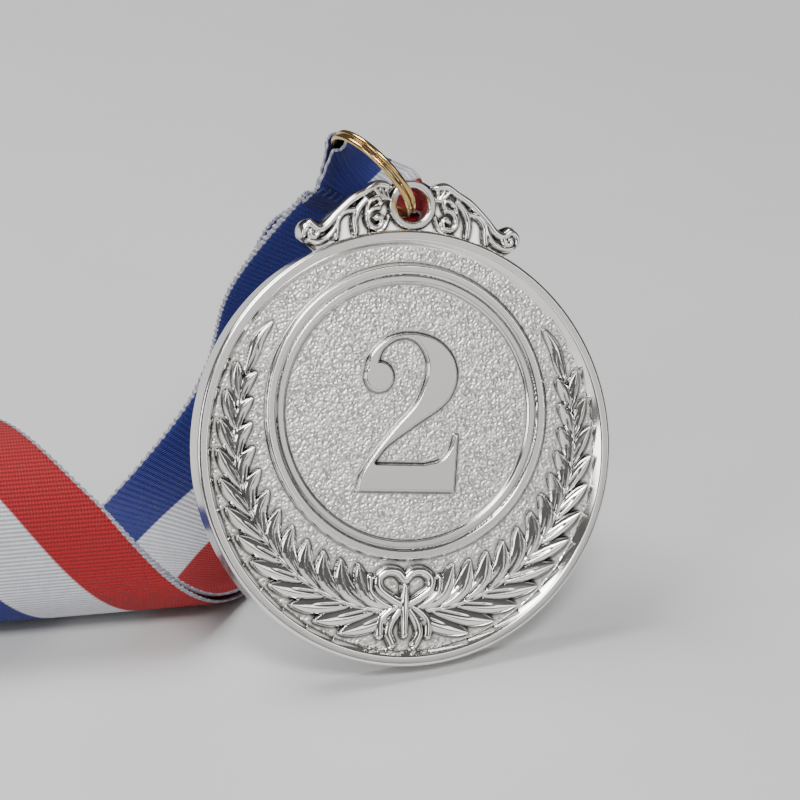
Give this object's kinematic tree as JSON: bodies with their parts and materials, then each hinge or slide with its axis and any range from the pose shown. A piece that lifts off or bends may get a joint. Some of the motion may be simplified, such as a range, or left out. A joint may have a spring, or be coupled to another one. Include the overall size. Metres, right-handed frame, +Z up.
{
  "type": "award medal on a neck ribbon",
  "caption": "Round die-cast award medal with a scrolled crest, hung by a split ring from a folded striped neck ribbon, standing on its rim against the ribbon.",
  "frame": {"origin": "on the table, under the middle of the whole object as it stands", "axes": "+Z up, the medal's face towards -Y and tilted up, +X to the right of a person facing the medal"},
  "size_m": [0.1134, 0.0573, 0.0591],
  "materials": {
    "nickel": "bright nickel with a fine grained field and satin raised faces",
    "ring_brass": "polished brass-coloured wire",
    "ribbon_weave": "ribbed woven ribbon in blue, white and red stripes",
    "thread": "twisted sewing thread, navy to match the ribbon's blue stripe"
  },
  "bodies": {
    "ribbon": {"ribbon_sleeve": "ribbon_weave", "ribbon_rear_tail": "ribbon_weave", "ribbon_front_tail": "ribbon_weave", "ribbon_curl": "ribbon_weave", "ribbon_roll": "ribbon_weave", "ribbon_stitching": "thread"},
    "ring": {"split_ring": "ring_brass"},
    "medal": {"medal": "nickel"}
  },
  "joints": [
    {"name": "ring_turn", "type": "hinge", "parent": "ribbon", "child": "ring", "pos_m": [0.03257, -0.0032, 0.05322], "axis": [0.829, 0.231, 0.5092], "range_deg": [-45, 0]},
    {"name": "medal_swing", "type": "hinge", "parent": "ring", "child": "medal", "pos_m": [0.03637, -0.00496, 0.04934], "axis": [0, -0.9107, 0.4131], "range_deg": [-35, 35]}
  ]
}
